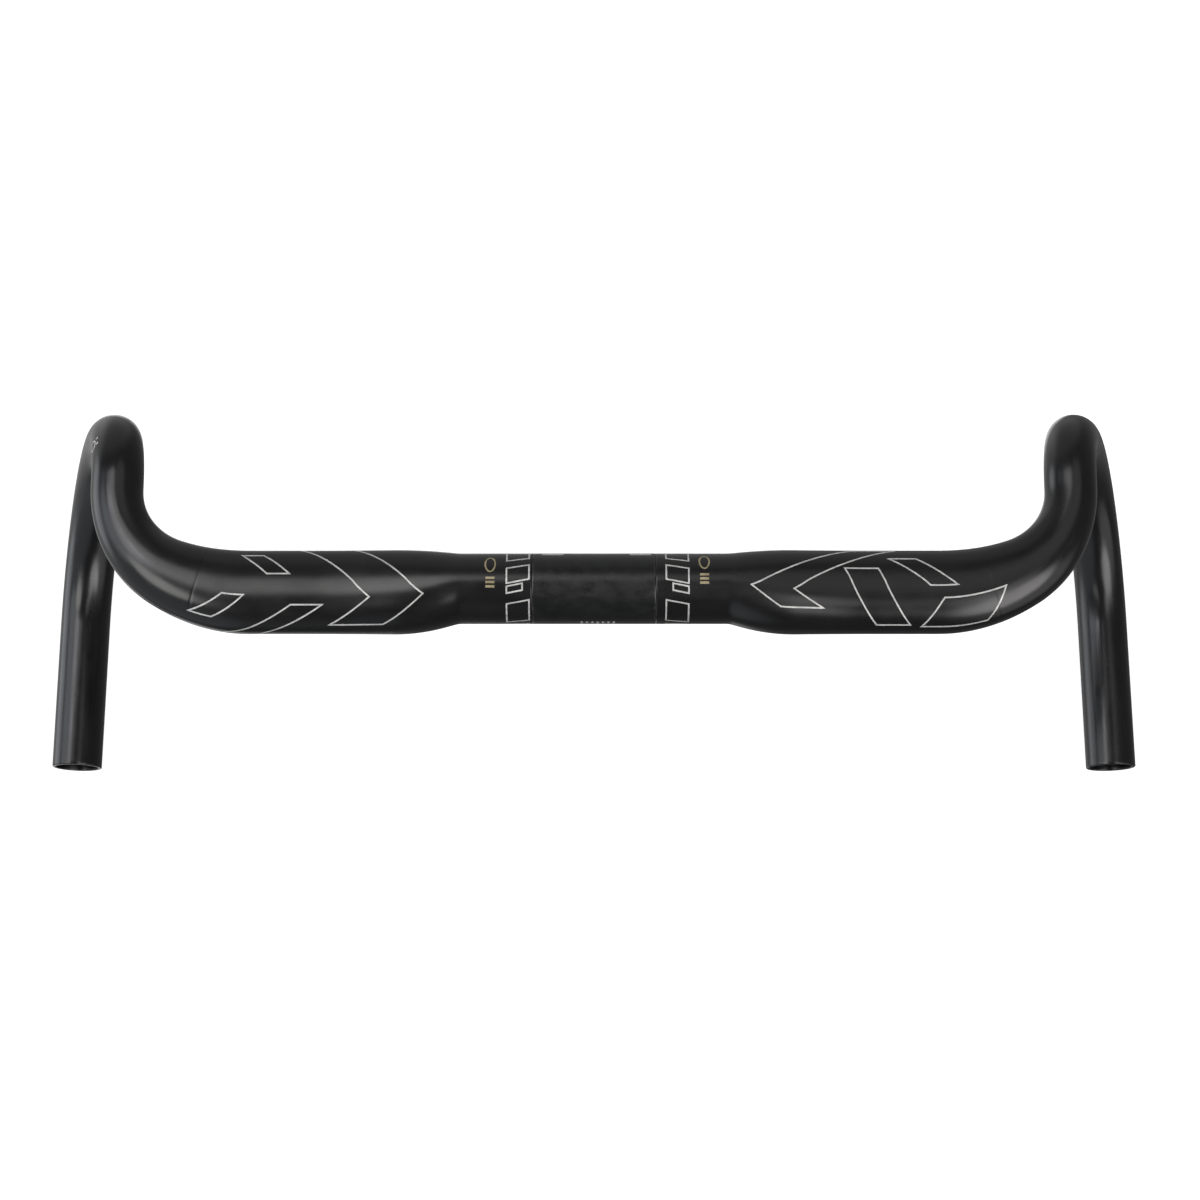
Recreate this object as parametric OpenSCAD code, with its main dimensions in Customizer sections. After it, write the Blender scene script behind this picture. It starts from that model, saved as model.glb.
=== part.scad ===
// Flared drop handlebar, moulded in carbon fibre.
// X runs along the clamp barrel to the rider's right, Y forward, Z up. The origin is the clamp's centre.

/* [Clamp] */
// Diameter of the round barrel that the stem clamps
clamp_d = 31.8; // [31.4:0.1:32]
// Length of the straight round barrel
clamp_len = 114; // [104:1:118]
// Wall thickness of the barrel
clamp_wall = 2.4; // [1.8:0.1:3]
// Width of the grip film round the middle of the barrel
grip_len = 55; // [52:1:56]
// Thickness of the grip film, which lies flush in a groove
grip_t = 0.2; // [0.2:0.05:0.3]
// Width left free in the groove beside the film
grip_gap = 0.6; // [0.6:0.1:0.8]

/* [Tops] */
// Front-to-back width of the flattened tops
top_chord = 38.6; // [35:0.1:41]
// Thickness of the flattened tops
top_h = 24; // [22:0.1:28]
// How far the middle of the tops lies behind the clamp axis
top_back = 1.7; // [0:0.1:3]
// How much squarer than an ellipse the tops are
top_full = 0.2; // [0:0.05:0.4]
// Distance along the bar where the barrel starts to swell
swell_start = 60; // [59:1:64]
// Distance along the bar where the tops reach their full width
swell_end = 90; // [82:1:100]
// Distance along the bar where the tops are down to their full thinness
thin_end = 124; // [110:1:140]
// Wall thickness of the tops and the bends
top_wall = 1.8; // [1.4:0.1:2.2]

/* [Bends] */
// Distance from the middle to the start of the bend
top_straight = 154.5; // [150:0.5:170]
// Radius of the first, wide part of the bend
bend_r1 = 87; // [80:1:95]
// Angle of the first part of the bend
bend_a1 = 25; // [20:1:28]
// Radius of the second, tight part of the bend
bend_r2 = 45; // [42:1:50]
// Angle of the second part of the bend
bend_a2 = 64; // [60:1:66]
// Distance before the end of the bends where the tops have become a round tube
round_before = 3; // [2:0.5:12]
// Slope of the tops and the ramp, downhill going forward
ramp_slope = 7.5; // [0:0.5:12]
// Length of the straight ramp
ramp_len = 4; // [2:0.5:20]

/* [Drops] */
// Diameter of the round tube
tube_d = 23.8; // [23.6:0.1:24]
// Wall thickness of the round tube
tube_wall = 1.7; // [1.2:0.1:2.4]
// Outward flare of the drops
flare = 16; // [0:1:24]
// Radius of the upper part of the hook
hook_r1 = 30; // [28:1:40]
// Angle of the upper part of the hook
hook_a1 = 64; // [55:1:70]
// Radius of the lower part of the hook
hook_r2 = 74; // [60:1:80]
// Angle of the lower part of the hook
hook_a2 = 108; // [100:1:112]
// Length of the straight grip at the end of the drop
drop_len = 70; // [50:1:90]

/* [Bonded joints] */
// Distance along the bar to the seam between the centre section and a drop
seam_at = 176.9; // [172:0.5:182]
// Length of the joint sleeve inside the seam
sleeve_len = 32; // [24:1:36]
// Wall thickness of the joint sleeve
sleeve_wall = 1.5; // [1:0.1:2]
// Thickness of the adhesive round the sleeve
bond_t = 0.2; // [0.1:0.05:0.3]

/* [Graphics] */
// Width of an outline stroke
line_w = 0.75; // [0.6:0.05:1.2]
// Thickness of the printed film
film_t = 0.14; // [0.1:0.02:0.2]

/* [Hidden] */

carbon = "#1d1e21";
inner_carbon = "#2a2b2e";
adhesive_grey = "#8c8f86";
grip_black = "#141517";
silver = "#c8c8c4";
gold = "#a8965f";

clamp_r = clamp_d / 2;
tube_r = tube_d / 2;
tube_bore_r = tube_r - tube_wall;
clamp_bore_r = clamp_r - clamp_wall;
shell_sides = 48;       // corners of a lofted ring of a moulded shell
joint_sides = 24;       // corners of a lofted ring inside a joint
ring_gap = 4.2;         // spacing of the lofted rings where the section changes
thin_gap = 6.8;         // their spacing where only the thickness still changes
nest = 0.02;            // how far a lofted end stays inside the wall of the tube that it meets
overlap = 0.8;          // how far it runs into that tube
seam_gap = 0.02;        // hairline between two exact lengths of tube, bridged inside by a collar
film_gap = 0.05;        // clearance under a printed film and beside the adhesive
film_step = 2.5;        // longest straight stretch of a stroke
$fn = 96;

// Distances along the bar, from the clamp's centre to the end of each bend
bend_1_end = top_straight + bend_r1 * bend_a1 * PI / 180;
bend_2_end = bend_1_end + bend_r2 * bend_a2 * PI / 180;
round_at = bend_2_end - round_before;

// ---- The tube's centreline, from the clamp to the end of the bends ----

// Heading of the bar at distance s, in degrees from +X towards the front
function heading(s) =
    s < top_straight ? 0 :
    s < bend_1_end ? (s - top_straight) / bend_r1 * 180 / PI :
    min(bend_a1 + bend_a2, bend_a1 + (s - bend_1_end) / bend_r2 * 180 / PI);

// Place of the centreline at distance s, in the sloping plane of the bends
function arc_to(r, a0, a1) = r * [sin(a1) - sin(a0), cos(a0) - cos(a1)];
function centreline(s) =
    s < top_straight ? [s, 0] :
    s < bend_1_end ? [top_straight, 0] + arc_to(bend_r1, 0, heading(s)) :
    [top_straight, 0] + arc_to(bend_r1, 0, bend_a1) + arc_to(bend_r2, bend_a1, heading(s))
        + max(0, s - bend_2_end) * [cos(heading(s)), sin(heading(s))];

// ---- The tube's section ----

function limit(t) = min(1, max(0, t));
function ease(t) = t * t * (3 - 2 * t);

// 0 on the barrel, 1 where the tops have their full width
function swell(s) =
    let (t = limit((s - swell_start) / (swell_end - swell_start)), g = 1.06 * t * t / (t + 0.06))
    1 - pow(1 - g, 2);

// 0 on the barrel, 1 where the tops are down to their full thinness
function thin(s) = ease(limit((s - swell_start) / (thin_end - swell_start)));

// 0 on the tops, 1 on the round tube
function slim(s) = ease(limit((s - top_straight) / (round_at - top_straight)));

function blend(barrel, top, tube, grown, slimmed) = barrel + (top - barrel) * grown + (tube - top) * slimmed;
function between(s, barrel, top, tube) = blend(barrel, top, tube, swell(s), slim(s));
function half_chord(s) = between(s, clamp_r, top_chord / 2, tube_r);
function half_height(s) = blend(clamp_r, top_h / 2, tube_r, thin(s), slim(s));
function set_back(s) = between(s, 0, top_back, 0);
function squareness(s) = 2 + between(s, 0, top_full, 0);
function wall(s) = between(s, clamp_wall, top_wall, tube_wall);

function power(x, p) = sign(x) * pow(abs(x), p);

// A point of the tube at distance s and angle a round it: 0 is its front, 90 its top, 180 its rear.
// lift moves the point out from the tube's outer face.
function skin(s, a, lift) =
    let (
        p = 2 / squareness(s),
        out = (half_chord(s) + lift) * power(cos(a), p) - set_back(s),
        up = (half_height(s) + lift) * power(sin(a), p),
        h = heading(s),
        c = centreline(s),
        flat = [c.x - out * sin(h), c.y + out * cos(h)]
    )
    [flat.x, flat.y * cos(ramp_slope) + up * sin(ramp_slope),
     up * cos(ramp_slope) - flat.y * sin(ramp_slope)];

// ---- Lofts along the tube ----

function stations(from, to, gap = ring_gap) =
    let (n = max(1, ceil((to - from) / gap)))
    [for (k = [0:n]) from + (to - from) * k / n];

function ring(s, lift, sides) = [for (k = [0:sides - 1]) skin(s, 360 * k / sides, lift)];

// Triangles of a list of four-cornered faces
function split(faces) = [for (f = faces) each [[f[0], f[1], f[2]], [f[0], f[2], f[3]]]];

// A hollow length of tube: outer(s) and inner(s) give the lift of its faces
module tube_loft(at, outer, inner, sides) {
    rings = len(at);
    points = [for (s = at) each ring(s, outer(s), sides), for (s = at) each ring(s, inner(s), sides)];
    second = rings * sides;
    function corner(r, k) = r * sides + k % sides;
    outside = [for (r = [0:rings - 2], k = [0:sides - 1])
        [corner(r, k), corner(r + 1, k), corner(r + 1, k + 1), corner(r, k + 1)]];
    inside = [for (f = outside) [for (k = [3:-1:0]) second + f[k]]];
    near = [for (k = [0:sides - 1])
        [corner(0, k), corner(0, k + 1), second + corner(0, k + 1), second + corner(0, k)]];
    far = [for (k = [0:sides - 1])
        [corner(rings - 1, k + 1), corner(rings - 1, k),
         second + corner(rings - 1, k), second + corner(rings - 1, k + 1)]];
    polyhedron(points, split(concat(outside, inside, near, far)));
}

// A lofted shell's faces lie just inside the wall of the exact tube that it runs into at its end
function joins_tube(s) = s <= clamp_len / 2 || s >= bend_2_end - overlap;
module shell(at)
    tube_loft(at, function (s) joins_tube(s) ? -nest : 0,
        function (s) -wall(s) + (joins_tube(s) ? 3 * nest : 0), shell_sides);

// ---- Printed outlines on the tube ----

// Points along an outline, close enough together to follow the tube
function along(corners, face) =
    [for (i = [0:len(corners) - 1])
        let (
            a = corners[i], b = corners[(i + 1) % len(corners)],
            n = max(1, ceil(norm(face(a, 0) - face(b, 0)) / film_step))
        )
        for (k = [0:n - 1]) a + (b - a) * k / n];

// Millimetres on the tube for one unit of each of a point's two values
function scale_at(p, face) =
    let (d = 0.2)
    [norm(face(p + [d, 0], 0) - face(p - [d, 0], 0)), norm(face(p + [0, d], 0) - face(p - [0, d], 0))]
    / (2 * d);

function times(a, b) = [a.x * b.x, a.y * b.y];
function unit(v) = v / norm(v);

// The two edges of a stroke at point i of a closed outline, mitred at its corners
function stroke_edge(points, i, side, face) =
    let (
        n = len(points), p = points[i], m = scale_at(p, face),
        before = unit(times(p - points[(i + n - 1) % n], m)),
        after = unit(times(points[(i + 1) % n] - p, m)),
        middle = unit(before + after),
        reach = side * line_w / 2 / max(0.4, middle * before)
    )
    p + times([-middle.y, middle.x] * reach, [1 / m.x, 1 / m.y]);

// One closed outline, as a thin film that follows the face
module outline(corners, face) {
    points = along(corners, face);
    n = len(points);
    film = [for (i = [0:n - 1])
        let (left = stroke_edge(points, i, 1, face), right = stroke_edge(points, i, -1, face))
        each [face(left, film_gap), face(right, film_gap),
              face(right, film_gap + film_t), face(left, film_gap + film_t)]];
    faces = [for (i = [0:n - 1], k = [0:3])
        [4 * i + k, 4 * ((i + 1) % n) + k, 4 * ((i + 1) % n) + (k + 1) % 4, 4 * i + (k + 1) % 4]];
    polyhedron(film, split(faces));
}

// One solid patch of film, given by four corners
module patch(corners, face) {
    lift = [film_gap, film_gap + film_t];
    cells = max(1, ceil(norm(face(corners[0], 0) - face(corners[1], 0)) / film_step));
    points = [for (k = [0:cells])
        let (a = corners[0] + (corners[1] - corners[0]) * k / cells,
             b = corners[3] + (corners[2] - corners[3]) * k / cells)
        each [face(a, lift[0]), face(b, lift[0]), face(b, lift[1]), face(a, lift[1])]];
    sides_of = [for (k = [0:cells - 1], e = [0:3])
        [4 * k + e, 4 * (k + 1) + e, 4 * (k + 1) + (e + 1) % 4, 4 * k + (e + 1) % 4]];
    polyhedron(points, split(concat(sides_of, [[0, 1, 2, 3], [for (e = [3:-1:0]) 4 * cells + e]])));
}

tube_face = function (p, lift) skin(p.x, p.y, lift);

// A slanted bar: it starts at s and angle a, is w long, and its far edge is moved by run and rise
function slant(s, a, w, run, rise) = [[s, a], [s + w, a], [s + w + run, a + rise], [s + run, a + rise]];

// An arrow band that points at the clamp, with one arm over the front and one over the rear
function chevron(s, a, w, front_run, front, rear_run, rear) = [
    [s, a], [s + front_run, a - front], [s + front_run + w, a - front], [s + w, a],
    [s + rear_run + w, a + rear], [s + rear_run, a + rear]
];

// ---- Frames along the hook ----

module turn(r, a) translate([r * sin(a), r * (1 - cos(a)), 0]) rotate([0, 0, a]) children();
module dive(r, a) translate([r * sin(a), 0, -r * (1 - cos(a))]) rotate([0, a, 0]) children();

module at_ramp()
    rotate([-ramp_slope, 0, 0]) translate([top_straight, 0, 0])
        turn(bend_r1, bend_a1) turn(bend_r2, bend_a2) children();

module at_hook() at_ramp() translate([ramp_len, 0, 0]) rotate([-flare, 0, 0]) children();

module wall_ring() difference() { circle(tube_r); circle(tube_bore_r); }

// A hidden ring inside the wall, which joins two lengths of tube that meet here
module collar() rotate([0, 90, 0]) difference() {
    cylinder(h = 1.2, r = tube_r - 0.05, center = true);
    cylinder(h = 2, r = tube_bore_r + 0.05, center = true);
}

module straight_tube(length) rotate([0, 90, 0]) linear_extrude(length) wall_ring();

// A length of tube that bends down through angle a, cut short by from and to millimetres at its ends
module diving_tube(r, a, from = 0, to = 0) {
    degrees = 180 / PI / r;
    translate([0, 0, -r]) rotate([-90, -90, 0])
        rotate_extrude(angle = a - (from + to) * degrees, start = from * degrees)
            translate([r, 0]) wall_ring();
}

module on_left() mirror([1, 0, 0]) children();

// ---- Moulded shells ----

module barrel() {
    groove_r = clamp_r - grip_t;
    rotate([0, 90, 0]) difference() {
        cylinder(h = clamp_len, r = clamp_r, center = true);
        cylinder(h = clamp_len + 2, r = clamp_bore_r, center = true);
        difference() {
            cylinder(h = grip_len + 2 * grip_gap, r = clamp_r + 1, center = true);
            cylinder(h = grip_len + 3, r = groove_r, center = true);
        }
    }
}

module top_shell()
    shell(concat(stations(clamp_len / 2, swell_end - ring_gap), stations(swell_end, thin_end, thin_gap),
                 stations(top_straight, seam_at)));

module centre_section() color(carbon) {
    barrel();
    top_shell();
    on_left() top_shell();
}

module drop() {
    shell(concat(stations(seam_at, bend_2_end - overlap), [bend_2_end + overlap]));
    at_ramp() straight_tube(ramp_len);
    at_hook() {
        collar();
        diving_tube(hook_r1, hook_a1, from = seam_gap, to = seam_gap);
        dive(hook_r1, hook_a1) {
            collar();
            diving_tube(hook_r2, hook_a2, from = seam_gap, to = seam_gap);
            dive(hook_r2, hook_a2) {
                collar();
                translate([seam_gap, 0, 0]) straight_tube(drop_len - seam_gap);
            }
        }
    }
}

module right_drop() color(carbon) drop();
module left_drop() color(carbon) on_left() drop();

// ---- Bonded joints inside the seams ----

function sleeve_lift(s) = -wall(s) - bond_t - 2 * film_gap;

module joint_sleeve()
    tube_loft(stations(seam_at - sleeve_len / 2, seam_at + sleeve_len / 2),
        function (s) sleeve_lift(s), function (s) sleeve_lift(s) - sleeve_wall, joint_sides);

module joint_adhesive()
    tube_loft(stations(seam_at - sleeve_len / 2 + 2, seam_at + sleeve_len / 2 - 2),
        function (s) -wall(s) - film_gap, function (s) -wall(s) - film_gap - bond_t, joint_sides);

module right_joint_sleeve() color(inner_carbon) joint_sleeve();
module left_joint_sleeve() color(inner_carbon) on_left() joint_sleeve();
module right_joint_adhesive() color(adhesive_grey) joint_adhesive();
module left_joint_adhesive() color(adhesive_grey) on_left() joint_adhesive();

// ---- Grip film and the marks printed flush in it ----

// A stretch of the grip film's thickness: from x, w wide, from angle a over span degrees
module film_sector(x, w, a, span, over = 0)
    translate([x, 0, 0]) rotate([90, 0, 90]) rotate_extrude(angle = span, start = a)
        translate([clamp_r - grip_t - over, 0]) square([grip_t + 2 * over, w]);

left_mark_x = -18.4;    // middle of the left alignment mark
right_mark_x = 20.9;
mark_line = 9.5;        // length of the mark's line
mark_front = 25;        // angle from the front of the barrel up to the line
mark_span = 6;          // width of the line, in degrees round the barrel
tick_w = 0.8;           // width of the mark's tick
tick_span = 10.6;       // length of the tick, in degrees
scale_x = 1.7;          // middle of the centring scale
scale_step = 2.4;
scale_tick = 1;         // width of a tick of the scale
scale_angle = 170;      // angle from the front of the barrel to the start of the ticks

// A line with a tick just below its middle
module alignment_mark(x, over = 0) {
    clear = 0.4;
    film_sector(x - mark_line / 2, mark_line, mark_front, mark_span, over);
    film_sector(x - tick_w / 2, tick_w, mark_front - clear - tick_span, tick_span, over);
}

// Seven ticks at the rear, longer in the middle and at both ends
module centring_scale(over = 0)
    for (k = [-3:3])
        film_sector(scale_x + scale_step * k - scale_tick / 2, scale_tick, scale_angle,
                    k % 3 == 0 ? 12 : 8, over);

module left_alignment_mark() color(silver) alignment_mark(left_mark_x);
module right_alignment_mark() color(silver) alignment_mark(right_mark_x);
module rear_centring_scale() color(silver) centring_scale();

module clamp_grip_film() color(grip_black) difference() {
    rotate([0, 90, 0]) difference() {
        cylinder(h = grip_len, r = clamp_r, center = true);
        cylinder(h = grip_len + 2, r = clamp_r - grip_t, center = true);
    }
    alignment_mark(left_mark_x, film_gap);
    alignment_mark(right_mark_x, film_gap);
    centring_scale(film_gap);
}

// ---- Printed graphics ----

module left_top_graphic() color(silver) on_left() {
    outline(chevron(76, 108, 24, 32, 86, 18, 46), tube_face);
    outline(slant(121, 118, 14, 34, 78), tube_face);
    outline(slant(136, 78, 10, 12, -34), tube_face);
    outline(slant(156, 104, 9, 12, 40), tube_face);
}

module right_top_graphic() color(silver) {
    outline(chevron(70, 98, 19, 46, 72, 13, 26), tube_face);
    outline(slant(112, 70, 15, 14, 84), tube_face);
    outline(slant(150, 92, 12, -18, -40), tube_face);
    outline(slant(156, 108, 26, -10, 50), tube_face);
}

// Slanted blocks in a row right round the barrel
module barrel_graphic(x) {
    blocks = 6;
    for (k = [0:blocks - 1]) {
        a = 360 / blocks * k + 8;
        long = k % 2 == 0 ? 44 : 26;
        outline([[x, a], [x + 10, a + 7], [x + 10, a + 7 + long], [x, a + long]], tube_face);
        if (k % 2 == 1)
            outline([[x + 3, a + 33], [x + 10, a + 38], [x + 10, a + 49], [x + 3, a + 44]], tube_face);
    }
}

module right_barrel_graphic() color(silver) barrel_graphic(32.2);
module left_barrel_graphic() color(silver) on_left() barrel_graphic(28.9);

// Corners of a ring round a middle, for an outline
function oval(middle, half) = [for (t = [0:30:330]) middle + [half.x * cos(t), half.y * sin(t)]];

// A filled bar from a corner, w along and h round
module bar(corner, w, h, face)
    patch([corner, corner + [0, h], corner + [w, h], corner + [w, 0]], face);

// A long ring of film and three short bars beside it
module size_mark(x, a) {
    outline(oval([x, a], [2.2, 15]), tube_face);
    for (k = [0:2])
        bar([x - 2, a + 24 + 7 * k], 4, 4, tube_face);
}

module right_size_mark() color(gold) size_mark(49.2, 60);
module left_size_mark() color(gold) on_left() size_mark(46.2, 66);

// The hook's outer face: degrees round the hook's bend, and degrees round the tube from its top inwards
hook_face = function (p, lift)
    let (out = hook_r1 + (tube_r + lift) * cos(p.y))
    [out * sin(p.x), (tube_r + lift) * sin(p.y), out * cos(p.x) - hook_r1];

module left_hook_mark() color(silver) on_left() at_hook() {
    outline(oval([31, -78], [5, 12]), hook_face);
    for (low = [27, 33])
        bar([low, -62], 2, 6, hook_face);
}

centre_section();
left_drop();
right_drop();
left_joint_sleeve();
right_joint_sleeve();
left_joint_adhesive();
right_joint_adhesive();
clamp_grip_film();
left_alignment_mark();
right_alignment_mark();
rear_centring_scale();
left_top_graphic();
right_top_graphic();
left_barrel_graphic();
right_barrel_graphic();
left_size_mark();
right_size_mark();
left_hook_mark();
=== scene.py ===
"""The looks of a flared carbon drop handlebar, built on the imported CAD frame.

The frame's X runs along the clamp barrel to the rider's right, Y forward and Z up, in metres.
Each smooth shell, film and printed mark below stands for the plain CAD node of the same place.
"""

import math

import bpy
import numpy as np
from mathutils import Matrix, Vector


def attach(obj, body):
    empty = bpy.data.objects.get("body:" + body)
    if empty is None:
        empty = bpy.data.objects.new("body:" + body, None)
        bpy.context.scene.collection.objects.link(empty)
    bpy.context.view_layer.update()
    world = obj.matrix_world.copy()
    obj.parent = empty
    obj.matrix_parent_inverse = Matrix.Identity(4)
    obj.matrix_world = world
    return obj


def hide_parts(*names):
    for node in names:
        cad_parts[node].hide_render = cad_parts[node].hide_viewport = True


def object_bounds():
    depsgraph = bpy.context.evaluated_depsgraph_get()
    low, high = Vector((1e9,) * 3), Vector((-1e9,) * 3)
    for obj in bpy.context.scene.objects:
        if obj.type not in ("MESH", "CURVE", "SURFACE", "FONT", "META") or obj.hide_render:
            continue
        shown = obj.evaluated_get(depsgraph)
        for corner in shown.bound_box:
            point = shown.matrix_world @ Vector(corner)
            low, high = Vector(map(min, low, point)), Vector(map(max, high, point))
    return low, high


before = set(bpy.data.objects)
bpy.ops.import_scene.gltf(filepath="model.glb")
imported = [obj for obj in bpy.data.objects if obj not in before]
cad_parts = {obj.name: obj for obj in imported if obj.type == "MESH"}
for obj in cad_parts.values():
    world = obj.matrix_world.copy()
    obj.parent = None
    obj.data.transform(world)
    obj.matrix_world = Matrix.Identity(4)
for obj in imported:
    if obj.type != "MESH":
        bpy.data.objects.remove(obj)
cad_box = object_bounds()

MM = 0.001

# ---- Driving sizes, in metres and radians: the same ones as the CAD part's ----

CLAMP_R = 15.9 * MM
CLAMP_WALL = 2.4 * MM
GRIP_LEN = 55 * MM
GRIP_T = 0.2 * MM

TOP_CHORD = 38.6 * MM
TOP_H = 24 * MM
TOP_BACK = 1.7 * MM         # how far the tops' middle lies behind the barrel's axis
TOP_FULL = 0.2              # how much squarer than an ellipse the tops are
TOP_WALL = 1.8 * MM
SWELL_START = 60 * MM
SWELL_END = 90 * MM
THIN_END = 124 * MM

TOP_STRAIGHT = 154.5 * MM
BEND_R1 = 87 * MM
BEND_A1 = math.radians(25)
BEND_R2 = 45 * MM
BEND_A2 = math.radians(64)
ROUND_BEFORE = 3 * MM
RAMP_SLOPE = math.radians(7.5)
RAMP_LEN = 4 * MM

TUBE_R = 11.9 * MM
TUBE_WALL = 1.7 * MM
FLARE = math.radians(16)
HOOK_R1 = 30 * MM
HOOK_A1 = math.radians(64)
HOOK_R2 = 74 * MM
HOOK_A2 = math.radians(108)
DROP_LEN = 70 * MM

SEAM_AT = 176.9 * MM

# Printed marks: where they start or have their middle, in millimetres from the clamp's middle
LEFT_ROWS_X = 28.9
RIGHT_ROWS_X = 32.2
LEFT_GOLD_X = 46.2
RIGHT_GOLD_X = 49.2
LEFT_MARK_X = -18.4
RIGHT_MARK_X = 20.9

# Marks on the grip film: millimetres along the bar, degrees up from the front of the barrel
MARK_LINE = 9.5
MARK_FRONT = 25
MARK_SPAN = 6
TICK_W = 0.8
TICK_SPAN = 10.6
SCALE_X = 1.7
SCALE_STEP = 2.4
SCALE_TICK = 1
SCALE_ANGLE = 170

BEND_END = TOP_STRAIGHT + BEND_R1 * BEND_A1 + BEND_R2 * BEND_A2
ROUND_AT = BEND_END - ROUND_BEFORE
HOOK_START = BEND_END + RAMP_LEN
BAR_END = HOOK_START + HOOK_R1 * HOOK_A1 + HOOK_R2 * HOOK_A2 + DROP_LEN
LEVEL = math.degrees(RAMP_SLOPE)    # angles round the tube start at the sloping tops' front

# ---- Sizes of the looks only ----

LINE_W = 0.7 * MM           # width of an outline stroke
PRINT_T = 0.04 * MM         # thickness of a printed mark
SEAM_LIP = 0.04 * MM        # rounding of the edges at the seam
GRIP_LIP = 0.05 * MM        # rounding of the grip film's edges
GRIP_GAP = 0.15 * MM        # gap that stays open beside the film, whose edges are pressed wide
END_LIP = 0.55 * MM         # rounding of the open ends' edges
AROUND = 160                # corners round a shell
RING_STEP = 1.2 * MM        # spacing of a shell's rings

# ---- Colours ----

GRIP_DARK = (0.002, 0.0024, 0.0024)
GRIP_LIGHT = (0.0045, 0.0048, 0.0048)
GRIP_SPECK = (0.018, 0.018, 0.018)
CENTRE_BASE = (0.003, 0.003, 0.0032)
CENTRE_FLECK = (0.005, 0.005, 0.0055)
DROP_BASE = (0.0025, 0.0025, 0.0029)
DROP_FLECK = (0.004, 0.0042, 0.005)
SILVER_THIN = (0.40, 0.40, 0.39)
SILVER_THICK = (0.55, 0.55, 0.53)
GOLD_THIN = (0.22, 0.18, 0.10)
GOLD_THICK = (0.33, 0.28, 0.17)

# ---- Light ----

WHITE = (1.0, 1.0, 1.0)
CREAM = (1.0, 0.99, 0.97)
ROSE = (1.0, 0.97, 0.97)
LILAC = (0.96, 0.94, 1.0)
BLUE = (0.88, 0.94, 1.0)

# The studio's soft boxes, in degrees: azimuth (0 is the rider's right, 90 ahead) and elevation of the
# middle, and how far from it the light starts to fade and is gone; then strength and colour
SOFT_BOXES = [
    (-164, 56, 8, 16, 4.6, CREAM),
    (-39, 48, 12, 24, 4.5, ROSE),
    (120, 64, 7, 14, 3.0, CREAM),
    (149, 56, 7, 14, 4.2, LILAC),
    (-14, 72, 6, 12, 2.0, WHITE),
    (170, 33, 9, 20, 2.0, BLUE),
    (171, -8, 10, 25, 1.8, BLUE),
    (-36, 16, 16, 32, 0.9, ROSE),
    (100, -64, 6, 14, 1.0, WHITE),
    (-140, -64, 10, 20, 0.8, WHITE),
    (-137, 8, 25, 50, 0.5, BLUE),
    (55, 56, 10, 22, 0.5, WHITE),
    (160, -32, 25, 50, 0.35, WHITE),
    (103, -8, 25, 50, 0.24, WHITE),
]
AMBIENT = 0.15      # the even light between the soft boxes
FLOOR_GLOW = 0.9    # what the camera sees of the floor on top of its reflected light

# ---- Camera ----

CAMERA_UP = math.radians(77.97)     # the camera's height above the horizon, behind the bar
CAMERA_FAR = 1.2375                 # metres from the view's centre
CAMERA_SLIDE = -0.0051              # how far the view's centre lies below the clamp's axis
LENS = 82.53                        # millimetres, on a sensor 36 mm wide
SHIFT = 0.00506                     # how far the bar stands left of the picture's middle, in widths


def make_camera():
    """The rider's view, from behind and well above."""
    ahead = Vector((0, math.cos(CAMERA_UP), -math.sin(CAMERA_UP)))
    up = Vector((0, math.sin(CAMERA_UP), math.cos(CAMERA_UP)))
    data = bpy.data.cameras.new("camera")
    data.lens = LENS
    data.sensor_width = 36
    data.shift_x = SHIFT
    camera = bpy.data.objects.new("camera", data)
    axes = Matrix((Vector((1, 0, 0)), up, -ahead)).transposed()
    camera.matrix_world = Matrix.Translation(up * CAMERA_SLIDE - ahead * CAMERA_FAR) @ axes.to_4x4()
    bpy.context.scene.collection.objects.link(camera)
    bpy.context.scene.camera = camera


make_camera()


# ---- The tube's centreline and section ----


def turned(v, axis, angle):
    """Rows of v turned about one axis by an angle for each row."""
    c = np.cos(angle)[:, None]
    s = np.sin(angle)[:, None]
    return v * c + np.cross(axis, v) * s + np.outer(v @ axis, axis) * (1 - c)


def legs():
    """The centreline's stretches: length, radius (0 if straight) and roll of the plane it bends in."""
    level = 0.0
    dive = math.pi / 2 + FLARE
    return [
        (TOP_STRAIGHT, 0, level),
        (BEND_R1 * BEND_A1, BEND_R1, level),
        (BEND_R2 * BEND_A2, BEND_R2, level),
        (RAMP_LEN, 0, level),
        (HOOK_R1 * HOOK_A1, HOOK_R1, dive),
        (HOOK_R2 * HOOK_A2, HOOK_R2, dive),
        (DROP_LEN, 0, level),
    ]


def path(s):
    """Places on the right half's centreline at distances s, with directions along, in front and up."""
    s = np.asarray(s, float)
    start = np.zeros(3)
    along = np.array([1.0, 0, 0])
    front = np.array([0, math.cos(RAMP_SLOPE), -math.sin(RAMP_SLOPE)])
    up = np.array([0, math.sin(RAMP_SLOPE), math.cos(RAMP_SLOPE)])
    out = [np.zeros((len(s), 3)) for _ in range(4)]
    walked = 0.0
    for length, radius, roll in legs():
        # The axis that the stretch turns about: up for a bend to the front, sideways for a dive
        axis = up * math.cos(roll) + front * math.sin(roll) if radius else up
        inward = np.cross(axis, along)
        here = s >= walked - 1e-9

        def place(d):
            angle = d / radius if radius else d * 0
            if radius:
                p = start + radius * (np.outer(np.sin(angle), along) + np.outer(1 - np.cos(angle), inward))
            else:
                p = start + np.outer(d, along)
            frames = [turned(np.tile(v, (len(d), 1)), axis, angle) for v in (along, front, up)]
            return [p] + frames

        for whole, part in zip(out, place(s[here] - walked)):
            whole[here] = part
        start, along, front, up = (v[0] for v in place(np.array([length])))
        walked += length
    return out


def limit(t):
    return np.clip(t, 0, 1)


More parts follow.
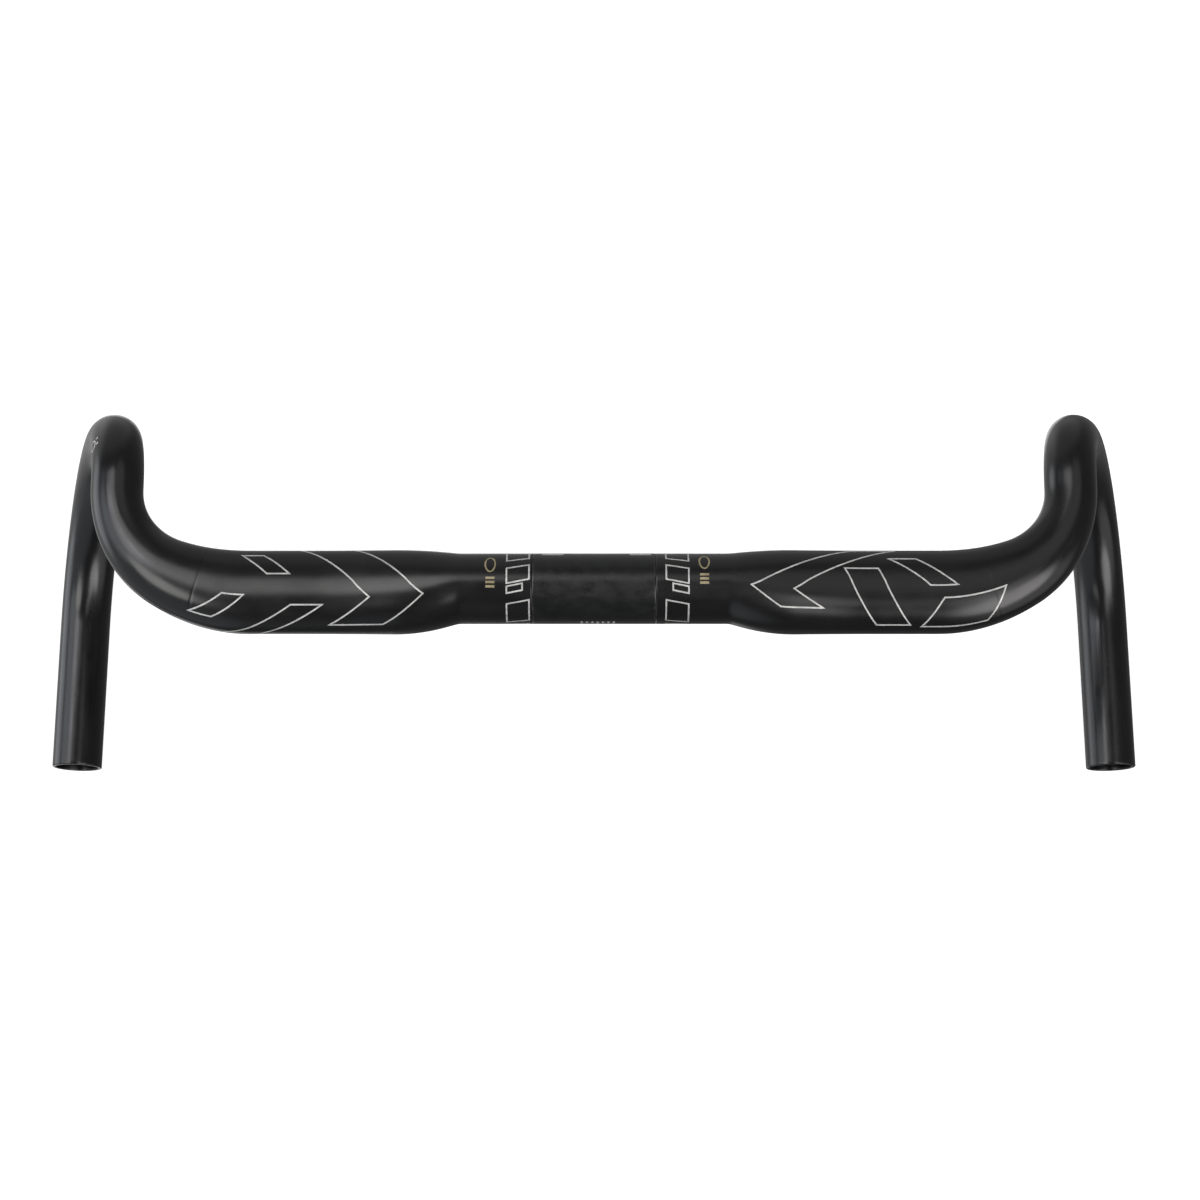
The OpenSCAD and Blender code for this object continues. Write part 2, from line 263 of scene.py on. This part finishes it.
def ease(t):
    return t * t * (3 - 2 * t)


def swell(s):
    """0 on the barrel, 1 on the full tops."""
    t = limit((s - SWELL_START) / (SWELL_END - SWELL_START))
    g = 1.06 * t * t / (t + 0.06)
    return 1 - (1 - g) ** 2


def slim(s):
    """0 on the tops, 1 on the round tube."""
    return ease(limit((s - TOP_STRAIGHT) / (ROUND_AT - TOP_STRAIGHT)))


def thin(s):
    """0 on the barrel, 1 where the tops are down to their full thickness."""
    return ease(limit((s - SWELL_START) / (THIN_END - SWELL_START)))


def between(s, barrel, top, tube, grown=swell):
    """A size of the section at distance s, from its values on the barrel, the tops and the tube."""
    return barrel + (top - barrel) * grown(s) + (tube - top) * slim(s)


def wall(s):
    return between(np.abs(s), CLAMP_WALL, TOP_WALL, TUBE_WALL)


def power(x, p):
    return np.sign(x) * np.abs(x) ** p


def skin(s, a, lift):
    """Points of the tube: s is negative on the left half, a is 0 at the front and 90 degrees on top."""
    side = np.where(s < 0, -1.0, 1.0)
    s = np.abs(s)
    p = 2 / (2 + between(s, 0, TOP_FULL, 0))
    out = (between(s, CLAMP_R, TOP_CHORD / 2, TUBE_R) + lift) * power(np.cos(a), p)
    out -= between(s, 0, TOP_BACK, 0)
    high = (between(s, CLAMP_R, TOP_H / 2, TUBE_R, thin) + lift) * power(np.sin(a), p)
    centre, _, front, up = path(s)
    points = centre + out[:, None] * front + high[:, None] * up
    points[:, 0] *= side
    return points


def straightened(s, a):
    """The same points on the tube pulled straight: a frame for fibres and paint that has no seam."""
    return np.stack([CLAMP_R * np.cos(a), CLAMP_R * np.sin(a), s], axis=1)


# ---- Meshes ----


def new_piece(name, points, faces, rest, material, replaced):
    """A smooth piece that rides on the bar and stands for its CAD nodes."""
    mesh = bpy.data.meshes.new(name)
    mesh.from_pydata(points.tolist(), [], faces)
    mesh.shade_smooth()
    place = mesh.attributes.new("tube_rest", "FLOAT_VECTOR", "POINT")
    place.data.foreach_set("vector", rest.astype(np.float32).ravel())
    mesh.materials.append(material)
    mesh.validate()
    piece = bpy.data.objects.new(name, mesh)
    bpy.context.scene.collection.objects.link(piece)
    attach(piece, "root")
    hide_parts(*replaced)
    return piece


def walk_mesh(walk):
    """A closed skin through rings; walk is a closed loop of (distance, lift) along the wall."""
    walk = np.array(walk)
    angles = np.arange(AROUND) * 2 * math.pi / AROUND
    s = np.repeat(walk[:, 0], AROUND)
    lift = np.repeat(walk[:, 1], AROUND)
    a = np.tile(angles, len(walk))
    faces = []
    for r in range(len(walk)):
        first = r * AROUND
        second = (r + 1) % len(walk) * AROUND
        for k in range(AROUND):
            n = (k + 1) % AROUND
            faces.append((first + k, first + n, second + n, second + k))
    return skin(s, a, lift), faces, straightened(s, a)


def steps(start, end, step):
    """Evenly spaced distances from start to end, both included."""
    return np.linspace(start, end, max(1, math.ceil(abs(end - start) / step)) + 1)


def lip(end, radius, ahead):
    """A rounded edge: from the outer face, at lift 0, over the end and into the wall."""
    turns = np.linspace(0, math.pi / 2, 6)[1:]
    return [(end - ahead * radius * (1 - math.sin(t)), -radius * (1 - math.cos(t))) for t in turns]


def wall_walk(near, far, near_lip, far_lip):
    """The closed loop along a wall: outer face from near to far, over the lip, inner face back."""
    out = [(s, 0.0) for s in steps(near + near_lip, far - far_lip, RING_STEP)]
    inner = [(s, -wall(s)) for s in steps(far - far_lip, near + near_lip, 3 * RING_STEP)]
    far_edge = lip(far, far_lip, 1)
    far_inside = [(s, -wall(far) - lift) for s, lift in reversed(far_edge)]
    near_edge = lip(near, near_lip, -1)
    near_inside = [(s, -wall(near) - lift) for s, lift in near_edge]
    return out + far_edge + far_inside + inner + near_inside + list(reversed(near_edge))


def mirrored(walk):
    """The left half's loop, kept facing outwards."""
    return [(-s, lift) for s, lift in reversed(walk)]


# ---- Materials ----


def new_material(name):
    material = bpy.data.materials.new(name)
    material.use_nodes = True
    shader = material.node_tree.nodes["Principled BSDF"]
    return material, material.node_tree, shader


def add(tree, kind, inputs=None, **settings):
    """A new node with its settings and the values or links of its inputs."""
    made = tree.nodes.new(kind)
    for name, value in settings.items():
        setattr(made, name, value)
    for name, value in (inputs or {}).items():
        if isinstance(value, bpy.types.NodeSocket):
            tree.links.new(value, made.inputs[name])
        else:
            made.inputs[name].default_value = value
    return made


def tube_place(tree, stretch):
    """The place on the straightened tube, in metres, divided by a size across and a size along."""
    across, along = stretch
    place = add(tree, "ShaderNodeAttribute", attribute_name="tube_rest").outputs["Vector"]
    scale = (1 / across, 1 / across, 1 / along)
    return add(tree, "ShaderNodeMapping", {"Vector": place, "Scale": scale}).outputs["Vector"]


def noise(tree, stretch, detail=2.0, rough=0.5):
    """Noise from 0 to 1, with features of about the given size across and along the tube."""
    inputs = {"Vector": tube_place(tree, stretch), "Scale": 1.0, "Detail": detail, "Roughness": rough}
    return add(tree, "ShaderNodeTexNoise", inputs).outputs["Fac"]


def ranged(tree, value, low, high, out_low, out_high):
    """A value's range from low to high spread over another range."""
    inputs = {"Value": value, "From Min": low, "From Max": high, "To Min": out_low, "To Max": out_high}
    return add(tree, "ShaderNodeMapRange", inputs).outputs["Result"]


def blended(tree, share, first, second):
    """A colour between two."""
    mix = add(tree, "ShaderNodeMix", data_type="RGBA")
    tree.links.new(share, mix.inputs["Factor"])
    for socket, value in ((mix.inputs["A"], first), (mix.inputs["B"], second)):
        if isinstance(value, bpy.types.NodeSocket):
            tree.links.new(value, socket)
        else:
            socket.default_value = (*value, 1)
    return mix.outputs["Result"]


def bumped(tree, heights):
    """One normal from several (height, distance) pairs."""
    normal = None
    for height, distance in heights:
        inputs = {"Height": height, "Distance": distance, "Strength": 1.0}
        if normal:
            inputs["Normal"] = normal
        normal = add(tree, "ShaderNodeBump", inputs).outputs["Normal"]
    return normal


def satin_carbon(name, base, fleck, rough):
    """Moulded carbon under a satin lacquer: fibres along the tube, soft waves and fine grain."""
    material, tree, shader = new_material(name)
    fibres = noise(tree, (0.5 * MM, 14 * MM), 3.0, 0.6)
    clouds = noise(tree, (9 * MM, 16 * MM), 2.0, 0.5)
    grain = noise(tree, (0.25 * MM, 0.25 * MM), 1.0, 0.5)
    streaks = ranged(tree, fibres, 0.35, 0.7, 0.0, 1.0)
    colour = blended(tree, streaks, base, fleck)
    tree.links.new(colour, shader.inputs["Base Color"])
    worn = ranged(tree, clouds, 0.3, 0.7, rough - 0.04, rough + 0.05)
    tree.links.new(worn, shader.inputs["Roughness"])
    normal = bumped(tree, [(clouds, 0.06 * MM), (fibres, 0.003 * MM), (grain, 0.003 * MM)])
    tree.links.new(normal, shader.inputs["Normal"])
    shader.inputs["Specular IOR Level"].default_value = 0.5
    return material


def film_edge(tree):
    """1 on broken lines just inside the two edges of the grip film, where it is pressed thin."""
    place = add(tree, "ShaderNodeAttribute", attribute_name="tube_rest").outputs["Vector"]
    along = add(tree, "ShaderNodeSeparateXYZ", {"Vector": place}).outputs["Z"]
    distance = add(tree, "ShaderNodeMath", {0: along}, operation="ABSOLUTE").outputs["Value"]
    line = ranged(tree, distance, GRIP_LEN / 2 - 0.8 * MM, GRIP_LEN / 2 - 0.6 * MM, 0.0, 1.0)
    dashes = ranged(tree, noise(tree, (1.2 * MM, 20 * MM)), 0.47, 0.53, 0.0, 1.0)
    return add(tree, "ShaderNodeMath", {0: line, 1: dashes}, operation="MULTIPLY").outputs["Value"]


def grip_paint():
    """Gritty matt film in the clamp zone, with faint clouds, specks and broken lines along its edges."""
    material, tree, shader = new_material("grip_paint")
    grit = noise(tree, (0.3 * MM, 0.3 * MM), 2.0, 0.6)
    clouds = noise(tree, (5 * MM, 7 * MM), 3.0, 0.55)
    specks = ranged(tree, noise(tree, (0.7 * MM, 0.7 * MM), 1.0), 0.73, 0.78, 0.0, 1.0)
    patches = ranged(tree, clouds, 0.35, 0.65, 0.0, 1.0)
    plain = blended(tree, patches, GRIP_DARK, GRIP_LIGHT)
    speckled = blended(tree, specks, plain, GRIP_SPECK)
    edged = blended(tree, film_edge(tree), speckled, GRIP_SPECK)
    tree.links.new(edged, shader.inputs["Base Color"])
    tree.links.new(ranged(tree, clouds, 0.3, 0.7, 0.25, 0.36), shader.inputs["Roughness"])
    tree.links.new(bumped(tree, [(clouds, 0.12 * MM), (grit, 0.010 * MM)]), shader.inputs["Normal"])
    return material


def printed_ink(name, sparse, full, rough=0.4):
    """Metallic ink, a little uneven where the screen left less of it."""
    material, tree, shader = new_material(name)
    clouds = noise(tree, (2.5 * MM, 2.5 * MM), 2.0, 0.5)
    flakes = noise(tree, (0.12 * MM, 0.12 * MM), 1.0, 0.5)
    laid = ranged(tree, clouds, 0.35, 0.65, 0.0, 1.0)
    tree.links.new(blended(tree, laid, sparse, full), shader.inputs["Base Color"])
    worn = ranged(tree, flakes, 0.3, 0.7, rough - 0.06, rough + 0.08)
    tree.links.new(worn, shader.inputs["Roughness"])
    tree.links.new(bumped(tree, [(flakes, 0.004 * MM)]), shader.inputs["Normal"])
    shader.inputs["Metallic"].default_value = 0.25
    return material


def cut_laminate():
    """The joint sleeve inside the bar: machined carbon with its plies showing as fine rings."""
    material, tree, shader = new_material("cut_laminate")
    place = add(tree, "ShaderNodeTexCoord").outputs["Object"]
    wave = add(tree, "ShaderNodeTexWave", {"Vector": place, "Scale": 900.0, "Distortion": 1.5},
               wave_type="BANDS", bands_direction="X").outputs["Fac"]
    colour = blended(tree, wave, (0.02, 0.02, 0.022), (0.05, 0.05, 0.054))
    tree.links.new(colour, shader.inputs["Base Color"])
    tree.links.new(ranged(tree, wave, 0.0, 1.0, 0.5, 0.62), shader.inputs["Roughness"])
    return material


def cured_adhesive():
    """Grey epoxy with trapped air."""
    material, tree, shader = new_material("cured_adhesive")
    place = add(tree, "ShaderNodeTexCoord").outputs["Object"]
    bubbles = add(tree, "ShaderNodeTexVoronoi", {"Vector": place, "Scale": 900.0}).outputs["Distance"]
    colour = blended(tree, bubbles, (0.2, 0.205, 0.18), (0.3, 0.31, 0.28))
    tree.links.new(colour, shader.inputs["Base Color"])
    tree.links.new(ranged(tree, bubbles, 0.0, 0.8, 0.3, 0.5), shader.inputs["Roughness"])
    return material


# ---- Shells ----


def centre_walk():
    """The loop along the centre section's wall, with the groove that the grip film lies in."""
    walk = wall_walk(-SEAM_AT, SEAM_AT, SEAM_LIP, SEAM_LIP)
    edge = GRIP_LEN / 2 + GRIP_GAP
    clear = edge + 0.3 * MM
    outside = [s for s, lift in walk if lift == 0.0]
    first = walk.index((outside[0], 0.0))
    rest = walk[first + len(outside):]
    before = [(s, 0.0) for s in outside if s < -clear]
    groove = [(-edge, 0.0), (-edge, -GRIP_T), (edge, -GRIP_T), (edge, 0.0)]
    after = [(s, 0.0) for s in outside if s > clear]
    return walk[:first] + before + groove + after + rest


def film_walk():
    """The loop along the grip film: its rounded outer face and its flat inner face."""
    half = GRIP_LEN / 2
    face = [(s, 0.0) for s in steps(GRIP_LIP - half, half - GRIP_LIP, 0.5 * MM)]
    return [(-half, -GRIP_T), (-half, -GRIP_LIP)] + face + [(half, -GRIP_LIP), (half, -GRIP_T)]


def make_shells(carbon_centre, carbon_drop):
    points, faces, rest = walk_mesh(centre_walk())
    new_piece("centre_shell", points, faces, rest, carbon_centre, ["centre_section"])
    walk = wall_walk(SEAM_AT, BAR_END, SEAM_LIP, END_LIP)
    for side, loop in (("right", walk), ("left", mirrored(walk))):
        points, faces, rest = walk_mesh(loop)
        new_piece(side + "_drop_shell", points, faces, rest, carbon_drop, [side + "_drop"])


def make_grip_film(paint):
    points, faces, rest = walk_mesh(film_walk())
    new_piece("grip_film_skin", points, faces, rest, paint, ["clamp_grip_film"])


# ---- Printed outlines ----


def slant(s, a, w, run, rise):
    """A slanted bar: it starts at s and angle a, is w long, and its far edge is moved by run and rise."""
    return [(s, a), (s + w, a), (s + w + run, a + rise), (s + run, a + rise)]


def chevron(s, a, w, front_run, front, rear_run, rear):
    """An arrow band that points at the clamp, with one arm over the front and one over the rear."""
    return [
        (s, a), (s + front_run, a - front), (s + front_run + w, a - front), (s + w, a),
        (s + rear_run + w, a + rear), (s + rear_run, a + rear),
    ]


def on_tube(points, lift, side):
    """Points given in millimetres along and degrees round, on the right or mirrored on the left."""
    points = np.asarray(points, float)
    s = points[:, 0] * MM * side
    a = np.radians(points[:, 1])
    return skin(s, a, np.full(len(s), lift)), straightened(s, a)


def sizes_at(points, side):
    """Metres on the tube for one unit of each of a point's two values."""
    d = 0.2
    out = []
    for step in ((d, 0), (0, d)):
        ahead, _ = on_tube(points + np.array(step), 0, side)
        behind, _ = on_tube(points - np.array(step), 0, side)
        out.append(np.linalg.norm(ahead - behind, axis=1) / (2 * d))
    return np.stack(out, axis=1)


def oval(s, a, half_s, half_a):
    """Points of a ring round a middle."""
    turns = [math.radians(15 * k) for k in range(24)]
    return [(s + half_s * math.cos(t), a + half_a * math.sin(t)) for t in turns]


def along_outline(corners, side):
    """Points along a closed outline, close enough together to follow the tube."""
    step = 0.7 * MM
    corners = np.array(corners, float)
    points = []
    for i in range(len(corners)):
        a = corners[i]
        b = corners[(i + 1) % len(corners)]
        ends, _ = on_tube([a, (a + b) / 2, b], 0, side)
        length = np.linalg.norm(ends[1] - ends[0]) + np.linalg.norm(ends[2] - ends[1])
        n = max(2, math.ceil(length / step))
        points += [a + (b - a) * k / n for k in range(n)]
    return np.array(points)


def stroke_edges(points, width, side):
    """The two edges of a stroke along a closed outline, mitred at its corners."""
    size = sizes_at(points, side)
    back = (points - np.roll(points, 1, axis=0)) * size
    ahead = (np.roll(points, -1, axis=0) - points) * size
    back /= np.linalg.norm(back, axis=1)[:, None]
    ahead /= np.linalg.norm(ahead, axis=1)[:, None]
    middle = back + ahead
    middle /= np.linalg.norm(middle, axis=1)[:, None]
    reach = width / 2 / np.maximum(0.4, (middle * back).sum(axis=1))
    across = np.stack([-middle[:, 1], middle[:, 0]], axis=1) * reach[:, None] / size
    return points + across, points - across


class Film:
    """Printed film gathered into one mesh: strokes and filled patches."""

    def __init__(self, side):
        self.side = side
        self.points = []
        self.rest = []
        self.faces = []
        self.count = 0

    def put(self, places, lift):
        points, rest = on_tube(places, lift, self.side)
        self.points.append(points)
        self.rest.append(rest)
        first = self.count
        self.count += len(points)
        return first

    def loops(self, loops, closed):
        """Joins loops of four edges: each face of the film runs from one loop to the next."""
        n = len(loops[0][0])
        firsts = [self.put(places, lift) for places, lift in loops]
        cells = n if closed else n - 1
        for j in range(4):
            a = firsts[j]
            b = firsts[(j + 1) % 4]
            for i in range(cells):
                t = (i + 1) % n
                quad = (a + i, a + t, b + t, b + i)
                self.faces.append(quad if self.side > 0 else quad[::-1])
        if not closed:
            for i in (0, n - 1):
                quad = tuple(f + i for f in firsts)
                turn = (i == 0) == (self.side > 0)
                self.faces.append(quad if turn else quad[::-1])

    def outline(self, corners):
        """A stroke along a closed outline."""
        points = along_outline(corners, self.side)
        left, right = stroke_edges(points, LINE_W, self.side)
        self.loops([(left, 0.0), (right, 0.0), (right, PRINT_T), (left, PRINT_T)], True)

    def patch(self, corners):
        """A filled patch between the edges 0-1 and 3-2 of four corners."""
        corners = np.array(corners, float)
        share = np.linspace(0, 1, 9)[:, None]
        left = corners[0] + (corners[1] - corners[0]) * share
        right = corners[3] + (corners[2] - corners[3]) * share
        self.loops([(left, 0.0), (right, 0.0), (right, PRINT_T), (left, PRINT_T)], False)

    def block(self, s, a, width, span):
        """A filled patch width long on the bar from s, and span degrees round it from a."""
        self.patch([(s, a), (s, a + span), (s + width, a + span), (s + width, a)])

    def piece(self, name, material, slot, replaced):
        points = np.vstack(self.points)
        rest = np.vstack(self.rest)
        made = new_piece(name, points, self.faces, rest, material, replaced)
        made.data.shade_flat()
        return made


def make_top_graphics(silver):
    left = Film(-1)
    left.outline(chevron(76, 108, 24, 32, 86, 18, 46))
    left.outline(slant(121, 118, 14, 34, 78))
    left.outline(slant(136, 78, 10, 12, -34))
    left.outline(slant(156, 104, 9, 12, 40))
    left.piece("left_top_print", silver, "silver_print", ["left_top_graphic"])
    right = Film(1)
    right.outline(chevron(70, 98, 19, 46, 72, 13, 26))
    right.outline(slant(112, 70, 15, 14, 84))
    right.outline(slant(150, 92, 12, -18, -40))
    right.outline(slant(156, 108, 26, -10, 50))
    right.piece("right_top_print", silver, "silver_print", ["right_top_graphic"])


def make_barrel_graphic(name, side, x, silver):
    """Slanted blocks in a row right round the barrel."""
    film = Film(side)
    blocks = 6
    for k in range(blocks):
        a = 360 / blocks * k + 8
        tall = 44 if k % 2 == 0 else 26
        film.outline([(x, a), (x + 10, a + 7), (x + 10, a + 7 + tall), (x, a + tall)])
        if k % 2 == 1:
            film.outline([(x + 3, a + 33), (x + 10, a + 38), (x + 10, a + 49), (x + 3, a + 44)])
    film.piece(name + "_barrel_print", silver, "silver_print", [name + "_barrel_graphic"])


def make_size_mark(name, side, x, a, gold):
    """A long ring and three short bars beside it."""
    film = Film(side)
    film.outline(oval(x, a, 2.2, 15))
    for k in range(3):
        film.block(x - 2, a + 24 + 7 * k, 4, 4)
    film.piece(name + "_size_print", gold, "gold_print", [name + "_size_mark"])


def make_alignment_mark(name, x, silver):
    """A line along the front of the barrel with a tick at its middle, which shows the clamp's place."""
    film = Film(1)
    clear = 0.4
    film.block(x - MARK_LINE / 2, LEVEL + MARK_FRONT, MARK_LINE, MARK_SPAN)
    film.block(x - TICK_W / 2, LEVEL + MARK_FRONT - clear - TICK_SPAN, TICK_W, TICK_SPAN)
    film.piece(name + "_alignment_print", silver, "silver_print", [name + "_alignment_mark"])


def make_centring_scale(silver):
    """Seven ticks at the rear of the barrel, longer in the middle and at the ends."""
    film = Film(1)
    for k in range(-3, 4):
        s = SCALE_X + SCALE_STEP * k - SCALE_TICK / 2
        film.block(s, LEVEL + SCALE_ANGLE, SCALE_TICK, 12 if k % 3 == 0 else 8)
    film.piece("centring_print", silver, "silver_print", ["rear_centring_scale"])


def on_hook(hook, a):
    """A place on the upper hook: degrees round its bend, and round the tube from its top inwards."""
    s = (HOOK_START + HOOK_R1 * math.radians(hook)) / MM
    return s, 90 - math.degrees(FLARE) - a


def make_hook_mark(silver):
    """A small ring with two bars beside it on the outer side of the left hook."""
    film = Film(-1)
    film.outline([on_hook(hook, a) for hook, a in oval(31, -78, 5, 12)])
    for low in (27, 33):
        high = low + 2
        film.patch([on_hook(low, -62), on_hook(low, -56), on_hook(high, -56), on_hook(high, -62)])
    film.piece("left_hook_print", silver, "silver_print", ["left_hook_mark"])


# ---- Pieces kept from the CAD ----


def finish_joints():
    """The hidden joint sleeves and their adhesive keep the CAD's shape."""
    for part, material in (("joint_sleeve", cut_laminate()), ("joint_adhesive", cured_adhesive())):
        for side in ("left", "right"):
            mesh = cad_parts[side + "_" + part].data
            mesh.materials.clear()
            mesh.materials.append(material)


# ---- Stage ----


def camera_sees(tree, seen, others):
    """One shader for what the camera sees directly, another for what lights the bar."""
    ray = add(tree, "ShaderNodeLightPath").outputs["Is Camera Ray"]
    mix = add(tree, "ShaderNodeMixShader", {"Fac": ray})
    tree.links.new(others, mix.inputs[1])
    tree.links.new(seen, mix.inputs[2])
    return mix.outputs["Shader"]


def make_floor():
    """A plain pale floor just under the bar, seen only from above. Soft light comes through it."""
    half = 8.0
    z = cad_box[0].z - 0.2 * MM
    corners = [(-half, -half, z), (half, -half, z), (half, half, z), (-half, half, z)]
    mesh = bpy.data.meshes.new("floor")
    mesh.from_pydata(corners, [], [(0, 1, 2, 3)])
    floor = bpy.data.objects.new("floor", mesh)
    bpy.context.scene.collection.objects.link(floor)
    material, tree, shader = new_material("pale_floor")
    shader.inputs["Base Color"].default_value = (0.3, 0.3, 0.3, 1)
    shader.inputs["Roughness"].default_value = 1.0
    shader.inputs["Specular IOR Level"].default_value = 0.0
    shader.inputs["Emission Color"].default_value = (1, 1, 1, 1)
    shader.inputs["Emission Strength"].default_value = FLOOR_GLOW
    clear = add(tree, "ShaderNodeBsdfTransparent").outputs["BSDF"]
    below = add(tree, "ShaderNodeNewGeometry").outputs["Backfacing"]
    top = add(tree, "ShaderNodeMixShader", {"Fac": below})
    tree.links.new(shader.outputs["BSDF"], top.inputs[1])
    tree.links.new(clear, top.inputs[2])
    surface = tree.nodes["Material Output"].inputs["Surface"]
    tree.links.new(camera_sees(tree, top.outputs["Shader"], clear), surface)
    mesh.materials.append(material)


def toward(azimuth, elevation):
    a = math.radians(azimuth)
    e = math.radians(elevation)
    return (math.cos(a) * math.cos(e), math.sin(a) * math.cos(e), math.sin(e))


def soft_box(tree, look, box):
    """The light of one round soft box seen in direction look."""
    azimuth, elevation, bright, fading, strength, colour = box
    facing = add(tree, "ShaderNodeVectorMath", operation="DOT_PRODUCT")
    tree.links.new(look, facing.inputs[0])
    facing.inputs[1].default_value = toward(azimuth, elevation)
    edge = math.cos(math.radians(fading))
    full = math.cos(math.radians(bright))
    limits = {"Value": facing.outputs["Value"], "From Min": edge, "From Max": full, "To Max": strength}
    level = add(tree, "ShaderNodeMapRange", limits, interpolation_type="SMOOTHERSTEP").outputs["Result"]
    glow = add(tree, "ShaderNodeVectorMath", operation="SCALE")
    glow.inputs[0].default_value = colour
    tree.links.new(level, glow.inputs["Scale"])
    return glow.outputs["Vector"]


def make_light():
    """Soft studio light: several soft boxes, and a pale even backdrop."""
    world = bpy.data.worlds.new("studio")
    bpy.context.scene.world = world
    world.use_nodes = True
    tree = world.node_tree
    look = add(tree, "ShaderNodeTexCoord").outputs["Generated"]
    parts = add(tree, "ShaderNodeSeparateXYZ", {"Vector": look}).outputs
    ahead = ranged(tree, parts["Y"], -0.5, 0.4, 0.9, 1.2)
    base = add(tree, "ShaderNodeVectorMath", operation="SCALE")
    base.inputs[0].default_value = (AMBIENT, AMBIENT, AMBIENT)
    tree.links.new(ahead, base.inputs["Scale"])
    total = base.outputs["Vector"]
    for box in SOFT_BOXES:
        both = add(tree, "ShaderNodeVectorMath", operation="ADD")
        tree.links.new(total, both.inputs[0])
        tree.links.new(soft_box(tree, look, box), both.inputs[1])
        total = both.outputs["Vector"]
    lit = add(tree, "ShaderNodeBackground", {"Color": total}).outputs["Background"]
    pale = add(tree, "ShaderNodeBackground", {"Color": (1, 1, 1, 1)}).outputs["Background"]
    surface = tree.nodes["World Output"].inputs["Surface"]
    tree.links.new(camera_sees(tree, pale, lit), surface)
    bpy.context.scene.view_settings.view_transform = "Standard"


# ---- Everything together ----


def main():
    carbon_centre = satin_carbon("satin_carbon_centre", CENTRE_BASE, CENTRE_FLECK, 0.235)
    carbon_drop = satin_carbon("satin_carbon_drop", DROP_BASE, DROP_FLECK, 0.225)
    silver = printed_ink("silver_ink", SILVER_THIN, SILVER_THICK)
    gold = printed_ink("gold_ink", GOLD_THIN, GOLD_THICK)
    make_shells(carbon_centre, carbon_drop)
    make_grip_film(grip_paint())
    make_top_graphics(silver)
    make_barrel_graphic("right", 1, RIGHT_ROWS_X, silver)
    make_barrel_graphic("left", -1, LEFT_ROWS_X, silver)
    make_size_mark("right", 1, RIGHT_GOLD_X, 60, gold)
    make_size_mark("left", -1, LEFT_GOLD_X, 66, gold)
    make_alignment_mark("left", LEFT_MARK_X, silver)
    make_alignment_mark("right", RIGHT_MARK_X, silver)
    make_centring_scale(silver)
    make_hook_mark(silver)
    finish_joints()
    make_floor()
    make_light()


main()
